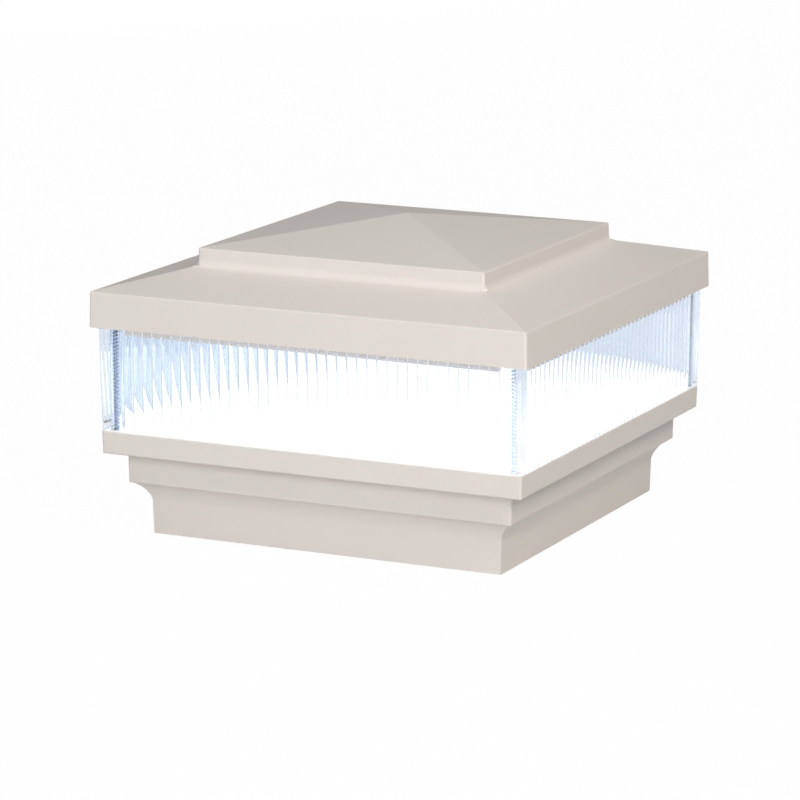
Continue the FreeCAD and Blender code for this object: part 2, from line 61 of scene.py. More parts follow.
def addCamera():
    data = bpy.data.cameras.new("camera")
    data.lens = cameraSetup["lens"]
    data.sensor_width = cameraSetup["sensor"]
    data.clip_start = cameraSetup["clipStart"]
    data.clip_end = cameraSetup["clipEnd"]
    camera = bpy.data.objects.new("camera", data)
    bpy.context.scene.collection.objects.link(camera)
    eye = Vector(cameraSetup["eye"])
    camera.location = eye
    sight = Vector(cameraSetup["target"]) - eye
    camera.rotation_euler = sight.to_track_quat("-Z", "Y").to_euler()
    bpy.context.scene.camera = camera


# ---- world, floor and lamps ----
studio = {
    "ambient": (0.04, 0.04, 0.04),   # what the surfaces get from all round
    "background": (1.0, 1.0, 1.0),   # what the camera, the gloss and the clear plastic see
    "floorSize": 12.0,
    "floorHole": 0.129,              # under the socket, so that the underside gets light
    "floorWhite": (0.80, 0.80, 0.80),
    "floorGlow": 0.98,               # how much of the floor is plain white to the camera
    "lampHeight": 0.055,             # the lamps look at this height above the floor
}

# Each lamp stands round the light: degrees right of the front, degrees up, metres away.
lamps = [
    {"name": "frontLamp", "turn": 5, "rise": 20, "away": 1.6, "size": (0.8, 0.8), "power": 9.7},
    {"name": "sideLamp", "turn": 65, "rise": 42, "away": 1.6, "size": (0.8, 0.8), "power": 10.4,
     "colour": (1.0, 0.95, 0.885)},
    {"name": "topLamp", "turn": 35, "rise": 70, "away": 1.6, "size": (0.8, 0.8), "power": 4.3},
    {"name": "lowLamp", "turn": 35, "rise": 20, "away": 1.6, "size": (0.8, 0.8), "power": 2.5},
    {"name": "backLamp", "turn": 222, "rise": 3, "away": 1.6, "size": (1.2, 0.3), "power": 4.5,
     "gloss": False},
    {"name": "underLamp", "turn": 0, "rise": -90, "away": 1.2, "size": (0.5, 0.5), "power": 4},
]

# a dark card low behind the light, which only gloss shows
darkCard = {"turn": 208, "rise": 2, "away": 0.9, "height": 0.1, "size": (1.8, 0.6),
            "colour": (0.01, 0.01, 0.01)}


def directionTo(turn, rise):
    turn, rise = math.radians(turn), math.radians(rise)
    level = math.cos(rise)
    return Vector((math.sin(turn) * level, -math.cos(turn) * level, math.sin(rise)))


def addLamps():
    middle = Vector((0, 0, studio["lampHeight"]))
    for lamp in lamps:
        away = directionTo(lamp["turn"], lamp["rise"])
        data = bpy.data.lights.new(lamp["name"], "AREA")
        data.shape = "RECTANGLE"
        data.size, data.size_y = lamp["size"]
        data.energy = lamp["power"]
        data.color = lamp.get("colour", (1, 1, 1))
        piece = bpy.data.objects.new(lamp["name"], data)
        bpy.context.scene.collection.objects.link(piece)
        piece.location = middle + away * lamp["away"]
        piece.rotation_euler = (-away).to_track_quat("-Z", "Y").to_euler()
        piece.visible_camera = False
        piece.visible_glossy = lamp.get("gloss", True)


def addDarkCard():
    away = directionTo(darkCard["turn"], darkCard["rise"])
    middle = Vector((0, 0, darkCard["height"]))
    bpy.ops.object.select_all(action="DESELECT")
    bpy.ops.mesh.primitive_plane_add(size=1, location=away * darkCard["away"] + middle,
                                     rotation=(-away).to_track_quat("Z", "Y").to_euler())
    card = bpy.context.object
    card.name = "darkCard"
    card.scale = (*darkCard["size"], 1)
    material = bpy.data.materials.new("blackPaper")
    material.use_nodes = True
    shader = material.node_tree.nodes["Principled BSDF"]
    shader.inputs["Base Color"].default_value = (*darkCard["colour"], 1)
    shader.inputs["Roughness"].default_value = 1
    shader.inputs["Specular IOR Level"].default_value = 0
    card.data.materials.append(material)
    for rays in ("camera", "diffuse", "transmission", "shadow"):
        setattr(card, f"visible_{rays}", False)


def plainShader(tree, kind, colour):
    node = tree.nodes.new(kind)
    node.inputs["Color"].default_value = (*colour, 1)
    return node.outputs[0]


# The share is that of the second shader.
def mixShaders(tree, share, first, second):
    node = tree.nodes.new("ShaderNodeMixShader")
    for source, socket in zip((share, first, second), node.inputs):
        tree.links.new(source, socket)
    return node.outputs[0]


# One step of arithmetic on a socket; the second value is a number or a socket.
def maths(tree, operation, first, second):
    node = tree.nodes.new("ShaderNodeMath")
    node.operation = operation
    tree.links.new(first, node.inputs[0])
    if isinstance(second, float):
        node.inputs[1].default_value = second
    else:
        tree.links.new(second, node.inputs[1])
    return node.outputs[0]


# 1 for rays that show a background: from the camera, off gloss and through clear plastic, but not
# for light that a matt surface has scattered, which would flood the inside of the lens
def backgroundRays(tree):
    path = tree.nodes.new("ShaderNodeLightPath")
    share = path.outputs["Is Camera Ray"]
    for kind in ("Is Glossy Ray", "Is Transmission Ray"):
        share = maths(tree, "MAXIMUM", share, path.outputs[kind])
    unscattered = maths(tree, "LESS_THAN", path.outputs["Diffuse Depth"], 0.5)
    return maths(tree, "MULTIPLY", share, unscattered)


def addWorld():
    world = bpy.data.worlds.new("studio")
    bpy.context.scene.world = world
    world.use_nodes = True
    tree = world.node_tree
    tree.nodes.clear()
    output = tree.nodes.new("ShaderNodeOutputWorld")
    ambient = plainShader(tree, "ShaderNodeBackground", studio["ambient"])
    white = plainShader(tree, "ShaderNodeBackground", studio["background"])
    light = mixShaders(tree, backgroundRays(tree), ambient, white)
    tree.links.new(light, output.inputs["Surface"])


def addFloor():
    bpy.ops.object.select_all(action="DESELECT")
    bpy.ops.mesh.primitive_plane_add(size=studio["floorSize"], location=(0, 0, 0))
    floor = bpy.context.object
    floor.name = "floor"
    bpy.ops.object.mode_set(mode="EDIT")
    bpy.ops.mesh.select_all(action="SELECT")
    bpy.ops.mesh.inset(thickness=(studio["floorSize"] - studio["floorHole"]) / 2)
    bpy.ops.mesh.delete(type="FACE")
    bpy.ops.object.mode_set(mode="OBJECT")
    material = bpy.data.materials.new("floorPaper")
    material.use_nodes = True
    tree = material.node_tree
    tree.nodes.clear()
    output = tree.nodes.new("ShaderNodeOutputMaterial")
    paper = plainShader(tree, "ShaderNodeBsdfDiffuse", studio["floorWhite"])
    glow = plainShader(tree, "ShaderNodeEmission", studio["background"])
    share = maths(tree, "MULTIPLY", backgroundRays(tree), studio["floorGlow"])
    fromAbove = mixShaders(tree, share, paper, glow)
    # seen from below the floor is left out, so that the underside shows
    below = tree.nodes.new("ShaderNodeNewGeometry").outputs["Backfacing"]
    through = tree.nodes.new("ShaderNodeBsdfTransparent").outputs[0]
    either = mixShaders(tree, below, fromAbove, through)
    tree.links.new(either, output.inputs["Surface"])
    floor.data.materials.append(material)


# ---- finishes ----
# 1 between two heights and between two squares, 0 elsewhere
def insideBand(tree, place, band):
    split = tree.nodes.new("ShaderNodeSeparateXYZ")
    tree.links.new(place.outputs["Object"], split.inputs[0])
    sides = [maths(tree, "ABSOLUTE", axis, 0.0) for axis in split.outputs[:2]]
    half = maths(tree, "MAXIMUM", *sides)
    within = maths(tree, "LESS_THAN", half, band["half"])
    beyond = maths(tree, "GREATER_THAN", half, band["innerHalf"])
    above = maths(tree, "GREATER_THAN", split.outputs[2], band["foot"])
    below = maths(tree, "LESS_THAN", split.outputs[2], band["top"])
    return maths(tree, "MULTIPLY", maths(tree, "MULTIPLY", within, beyond),
                 maths(tree, "MULTIPLY", above, below))


noiseDetail = {"mottle": 4, "grain": 2}   # a wide noise for the colour, a fine one for the surface


# Object coordinates are metres, so a grain of half a millimetre is a noise scale of 2000.
def newFinish(name, setup):
    material = bpy.data.materials.new(name)
    material.use_nodes = True
    tree = material.node_tree
    shader = tree.nodes["Principled BSDF"]
    place = tree.nodes.new("ShaderNodeTexCoord")
    stretch = tree.nodes.new("ShaderNodeMapping")
    stretch.inputs["Scale"].default_value = setup.get("stretch", (1, 1, 1))
    tree.links.new(place.outputs["Object"], stretch.inputs["Vector"])

    noises = {}
    for layer, detail in noiseDetail.items():
        noise = tree.nodes.new("ShaderNodeTexNoise")
        noise.inputs["Scale"].default_value = 1 / setup[layer]
        noise.inputs["Detail"].default_value = detail
        tree.links.new(stretch.outputs["Vector"], noise.inputs["Vector"])
        noises[layer] = noise.outputs["Fac"]

    # of a mix node's sockets, inputs 6 and 7 and output 2 are the ones for colour
    colours = tree.nodes.new("ShaderNodeMix")
    colours.data_type = "RGBA"
    colours.inputs[6].default_value = (*setup["colour"], 1)
    colours.inputs[7].default_value = (*setup["second"], 1)
    tree.links.new(noises["mottle"], colours.inputs[0])
    tree.links.new(colours.outputs[2], shader.inputs["Base Color"])

    gloss = tree.nodes.new("ShaderNodeMapRange")
    gloss.inputs["To Min"].default_value = setup["roughness"][0]
    gloss.inputs["To Max"].default_value = setup["roughness"][1]
    tree.links.new(noises["grain"], gloss.inputs["Value"])
    tree.links.new(gloss.outputs["Result"], shader.inputs["Roughness"])

    bump = tree.nodes.new("ShaderNodeBump")
    bump.inputs["Strength"].default_value = setup["bump"]
    bump.inputs["Distance"].default_value = setup["bumpHeight"]
    tree.links.new(noises["grain"], bump.inputs["Height"])
    tree.links.new(bump.outputs["Normal"], shader.inputs["Normal"])

    shader.inputs["Metallic"].default_value = setup.get("metallic", 0)
    shader.inputs["Specular IOR Level"].default_value = setup.get("specular", 0.5)
    shader.inputs["Transmission Weight"].default_value = setup.get("clear", 0)
    shader.inputs["IOR"].default_value = setup.get("ior", 1.5)
    if "glow" in setup:
        shader.inputs["Emission Color"].default_value = (*setup["glowColour"], 1)
        shader.inputs["Emission Strength"].default_value = setup["glow"]
    # painted glow: inside the band the plastic glows, as if it caught light
    if "paintedGlowBand" in setup:
        band = setup["paintedGlowBand"]
        glow = maths(tree, "MULTIPLY", insideBand(tree, place, band), band["glow"])
        tree.links.new(glow, shader.inputs["Emission Strength"])
        shader.inputs["Emission Color"].default_value = (*band["colour"], 1)


# painted glow: the ribs inside the lens glow as if they caught the lamp's light: the base's at the
# foot, the roof's at the top, warm and over its rib foot too
paintedGlowUpstand = {"foot": 0.03840, "top": 0.04295, "innerHalf": 0.0700, "half": 0.0762, "glow": 1.1,
              "colour": (0.95, 0.98, 1.0)}
paintedGlowRib = {"foot": 0.0720, "top": 0.0753, "innerHalf": 0.0755, "half": 0.0762, "glow": 0.33,
          "colour": (1.0, 0.80, 0.62)}
moulding = {"colour": (0.80, 0.755, 0.725), "second": (0.83, 0.785, 0.755), "mottle": 0.03,
            "grain": 0.0006, "roughness": (0.40, 0.50), "bump": 0.12, "bumpHeight": 0.00005,
            "specular": 0.15}
foam = {"colour": (0.76, 0.75, 0.74), "second": (0.66, 0.65, 0.64), "mottle": 0.0015,
        "grain": 0.0006, "roughness": (0.85, 0.98), "bump": 0.6, "bumpHeight": 0.0002,
        "specular": 0.1}

finishes = {
    "whitePlastic": {**moulding, "paintedGlowBand": paintedGlowRib},
    "basePlastic": {**moulding, "paintedGlowBand": paintedGlowUpstand},
    "clearPlastic": {"colour": (0.735, 0.795, 0.88), "second": (0.745, 0.805, 0.885),
                     "mottle": 0.02, "grain": 0.004, "roughness": (0.02, 0.05), "bump": 0.05,
                     "bumpHeight": 0.00005, "clear": 1.0, "ior": 1.49},
    "opalPlastic": {"colour": (0.86, 0.90, 0.95), "second": (0.89, 0.92, 0.96), "mottle": 0.02,
                    "grain": 0.001, "roughness": (0.45, 0.6), "bump": 0.05, "bumpHeight": 0.00005,
                    "specular": 0.4, "glow": 1.1, "glowColour": (0.93, 0.97, 1.0)},
    "reflectorWhite": {"colour": (0.86, 0.86, 0.85), "second": (0.90, 0.90, 0.89), "mottle": 0.02,
                       "grain": 0.0008, "roughness": (0.35, 0.5), "bump": 0.06,
                       "bumpHeight": 0.00005},
    "steel": {"colour": (0.60, 0.60, 0.61), "second": (0.50, 0.50, 0.52), "mottle": 0.003,
              "grain": 0.0003, "roughness": (0.22, 0.38), "bump": 0.1, "bumpHeight": 0.00002,
              "metallic": 1.0},
    # painted glare: a lighter steel that glows, for the near tie screw
    "paintedGlareSteel": {"colour": (0.86, 0.88, 0.92), "second": (0.78, 0.81, 0.86), "mottle": 0.003,
                    "grain": 0.0003, "roughness": (0.22, 0.38), "bump": 0.1, "bumpHeight": 0.00002,
                    "metallic": 1.0, "glow": 0.25, "glowColour": (0.80, 0.88, 1.0)},
    "tieSteel": {"colour": (0.45, 0.50, 0.60), "second": (0.38, 0.43, 0.52), "mottle": 0.003,
                 "grain": 0.0003, "roughness": (0.22, 0.38), "bump": 0.1, "bumpHeight": 0.00002,
                 "metallic": 1.0},
    "brass": {"colour": (0.78, 0.57, 0.28), "second": (0.66, 0.46, 0.22), "mottle": 0.002,
              "grain": 0.0003, "roughness": (0.25, 0.4), "bump": 0.1, "bumpHeight": 0.00002,
              "metallic": 1.0},
    "tinnedCopper": {"colour": (0.72, 0.70, 0.68), "second": (0.66, 0.60, 0.54), "mottle": 0.002,
                     "grain": 0.0003, "roughness": (0.25, 0.45), "bump": 0.1, "bumpHeight": 0.00002,
                     "metallic": 1.0},
    "aluminium": {"colour": (0.78, 0.78, 0.79), "second": (0.70, 0.70, 0.72), "mottle": 0.004,
                  "grain": 0.0004, "roughness": (0.30, 0.48), "bump": 0.15, "bumpHeight": 0.00003,
                  "metallic": 1.0, "stretch": (1, 14, 14)},
    "rubber": {"colour": (0.022, 0.022, 0.023), "second": (0.035, 0.035, 0.036), "mottle": 0.004,
               "grain": 0.0005, "roughness": (0.6, 0.8), "bump": 0.2, "bumpHeight": 0.00005,
               "specular": 0.35},
    "foam": foam,
    # painted glow: the lens's foam seal glows, as if it caught the light inside the lens
    "paintedGlowFoam": {**foam, "glow": 0.6, "glowColour": (1.0, 1.0, 1.0)},
    "thermalPad": {"colour": (0.55, 0.60, 0.66), "second": (0.48, 0.53, 0.60), "mottle": 0.004,
                   "grain": 0.0005, "roughness": (0.7, 0.9), "bump": 0.2, "bumpHeight": 0.00004,
                   "specular": 0.2},
    "whiteBoard": {"colour": (0.84, 0.84, 0.82), "second": (0.80, 0.80, 0.78), "mottle": 0.006,
                   "grain": 0.0006, "roughness": (0.25, 0.4), "bump": 0.06, "bumpHeight": 0.00003},
    "greenBoard": {"colour": (0.02, 0.16, 0.06), "second": (0.03, 0.22, 0.09), "mottle": 0.003,
                   "grain": 0.0006, "roughness": (0.25, 0.4), "bump": 0.1, "bumpHeight": 0.00003},
    "ledYellow": {"colour": (0.92, 0.78, 0.28), "second": (0.86, 0.70, 0.20), "mottle": 0.002,
                  "grain": 0.0004, "roughness": (0.3, 0.45), "bump": 0.05, "bumpHeight": 0.00002,
                  "glow": 1.5, "glowColour": (0.93, 0.97, 1.0)},
    "terminalGreen": {"colour": (0.05, 0.30, 0.12), "second": (0.04, 0.25, 0.10), "mottle": 0.004,
                      "grain": 0.0005, "roughness": (0.4, 0.55), "bump": 0.1,
                      "bumpHeight": 0.00003},
    "blackResin": {"colour": (0.02, 0.02, 0.022), "second": (0.035, 0.035, 0.037), "mottle": 0.002,
                   "grain": 0.0003, "roughness": (0.45, 0.65), "bump": 0.2, "bumpHeight": 0.00003},
    "capacitorSleeve": {"colour": (0.05, 0.06, 0.09), "second": (0.08, 0.09, 0.13), "mottle": 0.004,
                        "grain": 0.0005, "roughness": (0.25, 0.35), "bump": 0.05,
                        "bumpHeight": 0.00003},
    "ferrite": {"colour": (0.07, 0.065, 0.06), "second": (0.11, 0.10, 0.09), "mottle": 0.0015,
                "grain": 0.0003, "roughness": (0.6, 0.8), "bump": 0.3, "bumpHeight": 0.00005},
}

# which finish each part of the light is made in
partFinish = {
    "base_housing": "basePlastic", "cap_shell": "whitePlastic", "cable_grommet": "rubber",
    "lens_seal": "paintedGlowFoam", "cap_seal": "foam", "tie_screws": "steel", "tie_screw_washers": "steel",
    "heat_spreader": "aluminium", "spreader_screws": "steel", "thermal_pad": "thermalPad",
    "led_board": "whiteBoard", "led_board_screws": "steel", "led_chips": "ledYellow",
    "driver_board": "greenBoard", "driver_board_screws": "steel", "terminal_block": "terminalGreen",
    "terminal_screws": "steel", "bridge_rectifier": "blackResin",
    "smoothing_capacitor": "capacitorSleeve", "power_inductor": "ferrite",
    "driver_chip": "blackResin", "sense_resistors": "blackResin", "jumper_leads": "tinnedCopper",
    "diffuser": "opalPlastic", "lens": "clearPlastic", "reflector_plate": "reflectorWhite",
    "reflector_screws": "steel", "threaded_inserts": "brass",
}


def paint(piece, finishName):
    piece.data.materials.clear()
    piece.data.materials.append(bpy.data.materials[finishName])


# ---- modelling helpers ----
sharpAngle = math.radians(30)   # edges that turn more than this stay sharp


# A new mesh with one point, left open in edit mode with that point selected.
def startPoint(name, x, y, z):
    bpy.ops.object.select_all(action="DESELECT")
    bpy.ops.mesh.primitive_plane_add(size=mm, location=(0, 0, 0))
    piece = bpy.context.object
    piece.name = name
    piece.data.name = name
    bpy.ops.object.mode_set(mode="EDIT")
    bpy.ops.mesh.select_mode(type="VERT")
    bpy.ops.mesh.select_all(action="SELECT")
    bpy.ops.mesh.merge(type="CENTER")
    bpy.ops.transform.translate(value=(x, y, z))
    return piece


def drawTo(step):
    bpy.ops.mesh.extrude_region_move(TRANSFORM_OT_translate={"value": step})


# Leaves the piece in edit mode with only the wanted points or edges selected.
def pick(piece, wanted, kind="VERT"):
    bpy.ops.object.mode_set(mode="OBJECT")
    mesh = piece.data
    for group in (mesh.vertices, mesh.edges, mesh.polygons):
        group.foreach_set("select", [False] * len(group))
    if kind == "VERT":
        for point in mesh.vertices:
            point.select = wanted(point.co)
    else:
        for edge in mesh.edges:
            edge.select = wanted(*[mesh.vertices[end].co for end in edge.vertices])
    bpy.context.tool_settings.mesh_select_mode = (kind == "VERT", kind == "EDGE", False)
    bpy.ops.object.mode_set(mode="EDIT")


# A block, from its middle and its size.
def addBlock(name, middle, size, turn=0):
    bpy.ops.object.select_all(action="DESELECT")
    bpy.ops.mesh.primitive_cube_add(size=1, location=middle, scale=size, rotation=(0, 0, turn))
    block = bpy.context.object
    block.name = name
    block.data.name = name
    bpy.ops.object.transform_apply(location=True, rotation=True, scale=True)
    return block


def cutAway(piece, tool):
    cut = piece.modifiers.new("cut", "BOOLEAN")
    cut.operation = "DIFFERENCE"
    cut.solver = "EXACT"
    cut.object = tool
    bpy.context.view_layer.objects.active = piece
    bpy.ops.object.modifier_apply(modifier="cut")
    bpy.data.objects.remove(tool)


# Repeats what is selected, all of it one side of a square, on the other three sides.
def onAllSides():
    for side in range(3):
        bpy.ops.mesh.duplicate()
        bpy.ops.transform.rotate(value=math.pi / 2, orient_axis="Z", center_override=(0, 0, 0))


# Joins points that lie on each other and ends the piece's modelling.
def closeUp(piece):
    bpy.ops.mesh.select_mode(type="VERT")
    bpy.ops.mesh.select_all(action="SELECT")
    bpy.ops.mesh.remove_doubles(threshold=samePoint)
    bpy.ops.mesh.normals_make_consistent(inside=False)
    bpy.ops.object.mode_set(mode="OBJECT")
    bpy.ops.object.shade_smooth_by_angle(angle=sharpAngle)
    bpy.ops.object.transform_apply(location=True, rotation=True, scale=True)


# A ring or a solid of revolution, from the (radius, height) corners of its section.
def turnOnLathe(name, section, steps):
    radius, height = section[0]
    piece = startPoint(name, radius, 0, height)
    for last, following in zip(section, section[1:]):
        drawTo((following[0] - last[0], 0, following[1] - last[1]))
    bpy.ops.mesh.select_all(action="SELECT")
    if section[0][0] > 0:
        ends = [Vector((radius, 0, height)) for radius, height in (section[0], section[-1])]
        pick(piece, lambda place: min((place - end).length for end in ends) < samePoint)
        bpy.ops.mesh.edge_face_add()
        bpy.ops.mesh.select_all(action="SELECT")
    bpy.ops.mesh.spin(steps=steps, angle=2 * math.pi, center=(0, 0, 0), axis=(0, 0, 1))
    return piece


def carryTo(piece, x, y, z):
    piece.location = (x, y, z)
    bpy.ops.object.select_all(action="DESELECT")
    piece.select_set(True)
    bpy.context.view_layer.objects.active = piece
    bpy.ops.object.transform_apply(location=True, rotation=True, scale=True)


def copyOf(piece, name):
    copy = piece.copy()
    copy.data = piece.data.copy()
    copy.name = name
    copy.data.name = name
    bpy.context.scene.collection.objects.link(copy)
    return copy


# The piece and three copies of it, carried to the corners of a square; the last is the near one.
def inCorners(piece, baseName, place, height):
    pieces = [piece] + [copyOf(piece, f"{baseName}{index}") for index in (2, 3, 4)]
    for copy, (x, y) in zip(pieces, [(1, 1), (-1, 1), (-1, -1), (1, -1)]):
        carryTo(copy, x * place, y * place, height)
    return pieces


def ridesAs(piece, body, slotName, finishName, *standsFor):
    paint(piece, finishName)
    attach(piece, body)
    if standsFor:
        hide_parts(*standsFor)


# ---- lens: a clear square ring with rounded reeds up its inner faces ----
lensSetup = {
    "wall": 3.0 * mm,           # at the foot
    "lean": 0.66 * mm,          # how much each side leans out towards the top
    "reedPitch": 3.75 * mm,
    "reedHeight": 0.55 * mm,
    "reeds": 40,
    "stepsPerReed": 8,
    "cornerRadius": 1.0 * mm,
    "cornerSteps": 5,
}


def makeLens():
    low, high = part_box("lens")
    foot, top = low.z, high.z
    topHalf = high.x
    footHalf = topHalf - lensSetup["lean"]
    root = footHalf - lensSetup["wall"]
    pitch, rise = lensSetup["reedPitch"], lensSetup["reedHeight"]
    radius = (pitch ** 2 / 4 + rise ** 2) / (2 * rise)
    swing = math.asin(pitch / 2 / radius)
    run = lensSetup["reeds"] * pitch

    # the hollow: one reed that bulges inwards, then a row of them with a plain stretch at each end
    spare = mm
    inside = startPoint("reededHollow", root, -run / 2, foot - spare)
    middle = (root + radius * math.cos(swing), -run / 2 + pitch / 2, foot - spare)
    bpy.ops.mesh.spin(steps=lensSetup["stepsPerReed"], angle=2 * swing, center=middle,
                      axis=(0, 0, 1))
    bpy.ops.object.mode_set(mode="OBJECT")
    row = inside.modifiers.new("row", "ARRAY")
    row.count = lensSetup["reeds"]
    row.use_relative_offset = False
    row.use_constant_offset = True
    row.constant_offset_displace = (0, pitch, 0)
    row.use_merge_vertices = True
    row.merge_threshold = nearby
    bpy.ops.object.modifier_apply(modifier="row")
    for side in (-1, 1):
        end = side * run / 2
        pick(inside, lambda place: abs(place.y - end) < nearby)
        drawTo((0, side * root - end, 0))

    # four sides, closed to a face and pulled up into a block
    bpy.ops.mesh.select_all(action="SELECT")
    onAllSides()
    bpy.ops.mesh.select_all(action="SELECT")
    bpy.ops.mesh.remove_doubles(threshold=nearby)
    bpy.ops.mesh.select_all(action="SELECT")
    bpy.ops.mesh.edge_face_add()
    drawTo((0, 0, top - foot + 2 * spare))
    bpy.ops.mesh.select_all(action="SELECT")
    bpy.ops.mesh.normals_make_consistent(inside=False)
    bpy.ops.object.mode_set(mode="OBJECT")

    # the plain outside, leaning out towards the top
    lens = addBlock("clearLens", (0, 0, (foot + top) / 2), (2 * footHalf, 2 * footHalf, top - foot))
    pick(lens, lambda one, two: abs(one.z - two.z) > mm, "EDGE")
    bpy.ops.mesh.bevel(offset=lensSetup["cornerRadius"], segments=lensSetup["cornerSteps"],
                       affect="EDGES")
    pick(lens, lambda place: place.z > top - nearby)
    bpy.ops.transform.resize(value=(topHalf / footHalf, topHalf / footHalf, 1),
                             center_override=(0, 0, top))
    bpy.ops.object.mode_set(mode="OBJECT")

    cutAway(lens, inside)
    bpy.ops.object.mode_set(mode="EDIT")
    closeUp(lens)
    lens.visible_shadow = False   # lamps shine through clear plastic
    ridesAs(lens, "lens_ring", "clear_lens", "clearPlastic", "lens")


# ---- tie screws: long, coarse-threaded, with a cross recess in the pan head ----
screwSetup = {
    "threadRoot": 0.93 * mm,
    "threadCrest": 1.25 * mm,
    "threadPitch": 1.25 * mm,
    "threadSink": 0.1,          # share of the ridge's height that is sunk into the shank
    "threadFlank": 0.4,         # share of the pitch that each flank takes
    "tipLength": 1.6 * mm,
    "tipRadius": 0.3,           # share of the thread's root
    "tipBlunt": 0.1,            # share of the tip that the blunt end takes
    "plainNeck": 1.5 * mm,
    "stepsPerTurn": 20,
    "headRadius": 2.2 * mm,
    "reflectorHeadRadius": 2.3 * mm,
    "headSteps": 40,
    "crossWidth": 0.55 * mm,
    "crossShare": 1.25,         # length of the cross as a share of the head's radius
    "crossDepth": 1.0 * mm,
    "crossTaper": 0.5,          # size of the cross at its bottom
    "edge": 0.1,                # softened edge of the head, as a share of its height
    "crown": 0.25,              # height of the crown's first step, as a share of the head's height
    "crownRing": ((1.0, 2.0), (0.93, 1.0), (0.78, 1 / 3), (0.6, 0.0)),   # shares of radius, crown
}


# The head's underside is at z 0, the head below it and the shank above.
def makeScrew(name, headRadius, headHeight, length):
    root, crest = screwSetup["threadRoot"], screwSetup["threadCrest"]
    pitch = screwSetup["threadPitch"]
    tip = screwSetup["tipLength"]
    edge = screwSetup["edge"] * headHeight
    crown = screwSetup["crown"] * headHeight
    section = [(0, length),
               (screwSetup["tipRadius"] * root, length - screwSetup["tipBlunt"] * tip),
               (root, length - tip), (root, 0), (headRadius - edge, 0), (headRadius, -edge)]
    for across, up in screwSetup["crownRing"]:
        section.append((headRadius * across, crown * up - headHeight))
    screw = turnOnLathe(name, section + [(0, -headHeight)], screwSetup["headSteps"])
    closeUp(screw)
    cutCross(screw, headRadius, headHeight)
    first, last = screwSetup["plainNeck"], length - tip
    if last - first > pitch:
        addThread(screw, root, crest - root, pitch, first, last)
    bpy.ops.object.select_all(action="DESELECT")
    return screw


# a cross, cut into the head by two tapered bars
def cutCross(screw, headRadius, headHeight):
    size = (screwSetup["crossShare"] * headRadius, screwSetup["crossWidth"],
            2 * screwSetup["crossDepth"])
    taper = screwSetup["crossTaper"]
    for turn in (0, math.pi / 2):
        bar = addBlock("crossBar", (0, 0, -headHeight), size, turn)
        pick(bar, lambda place: place.z > -headHeight)
        bpy.ops.transform.resize(value=(taper, taper, 1), center_override=(0, 0, 0))
        bpy.ops.object.mode_set(mode="OBJECT")
        cutAway(screw, bar)


# the thread: a three-cornered ridge wound up the shank
def addThread(screw, root, depth, pitch, first, last):
    sink = screwSetup["threadSink"] * depth
    flank = screwSetup["threadFlank"] * pitch
    ridge = startPoint("ridge", root - sink, 0, first)
    drawTo((depth + sink, 0, flank))
    drawTo((-depth - sink, 0, flank))
    bpy.ops.mesh.select_all(action="SELECT")
    bpy.ops.mesh.edge_face_add()
    bpy.ops.mesh.delete(type="ONLY_FACE")
    bpy.ops.object.mode_set(mode="OBJECT")
    wind = ridge.modifiers.new("wind", "SCREW")
    wind.axis = "Z"
    wind.screw_offset = pitch
    wind.iterations = int((last - first) / pitch - 2 * screwSetup["threadFlank"])
    wind.steps = screwSetup["stepsPerTurn"]
    wind.render_steps = screwSetup["stepsPerTurn"]
    bpy.ops.object.modifier_apply(modifier="wind")
    bpy.ops.object.mode_set(mode="EDIT")
    bpy.ops.mesh.select_all(action="SELECT")
    bpy.ops.mesh.fill_holes(sides=4)
    closeUp(ridge)
    bpy.ops.object.select_all(action="DESELECT")
    ridge.select_set(True)
    screw.select_set(True)
    bpy.context.view_layer.objects.active = screw
    bpy.ops.object.join()


def makeTieScrews():
    low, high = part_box("tie_screws")
    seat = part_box("tie_screw_washers")[0].z
    headRadius = screwSetup["headRadius"]
    screw = makeScrew("tieScrew1", headRadius, seat - low.z, high.z - seat)
    # painted glare: the near corner's screw gets a lighter, glowing copy of the steel, for the
    # lamp's glare on it
    steels = ["tieSteel", "tieSteel", "tieSteel", "paintedGlareSteel"]
    for piece, steel in zip(inCorners(screw, "tieScrew", high.x - headRadius, seat), steels):
        ridesAs(piece, "base", "stainless", steel, "tie_screws")


# ---- reflector screws: the same, shorter, up into the roof's bosses ----
def makeReflectorScrews():
    low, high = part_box("reflector_screws")
    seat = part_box("reflector_plate")[0].z
    headRadius = screwSetup["reflectorHeadRadius"]
    screw = makeScrew("reflectorScrew1", headRadius, seat - low.z, high.z - seat)
    for piece in inCorners(screw, "reflectorScrew", high.x - headRadius, seat):
        ridesAs(piece, "cap", "stainless", "steel", "reflector_screws")


# ---- turned rings: washers, brass inserts and the cable's grommet ----
ringSetup = {
    "washerBore": 1.35 * mm,
    "washerEdge": 0.12 * mm,
    "insertBore": 1.6 * mm,
    "insertRadius": 2.1 * mm,
    "insertGroove": 0.25 * mm,
    "grooveHeights": (0.42, 0.46, 0.54, 0.58),   # shares of the insert's length
    "grommetBore": 3.0 * mm,
    "grommetNeck": 4.5 * mm,
    "grommetLip": 1.0 * mm,
    "grommetFlange": 1.5 * mm,
    "grommetEdge": 0.35 * mm,
    "steps": 48,
}


def makeWashers():
    low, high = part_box("tie_screw_washers")
    outer, edge = screwSetup["headRadius"], ringSetup["washerEdge"]
    bore, thick = ringSetup["washerBore"], high.z - low.z
    washer = turnOnLathe("washer1", [
        (bore, 0), (outer - edge, 0), (outer, edge), (outer, thick - edge), (outer - edge, thick),
        (bore, thick)], ringSetup["steps"])
    closeUp(washer)
    for piece in inCorners(washer, "washer", high.x - outer, low.z):
        ridesAs(piece, "base", "stainless", "steel", "tie_screw_washers")


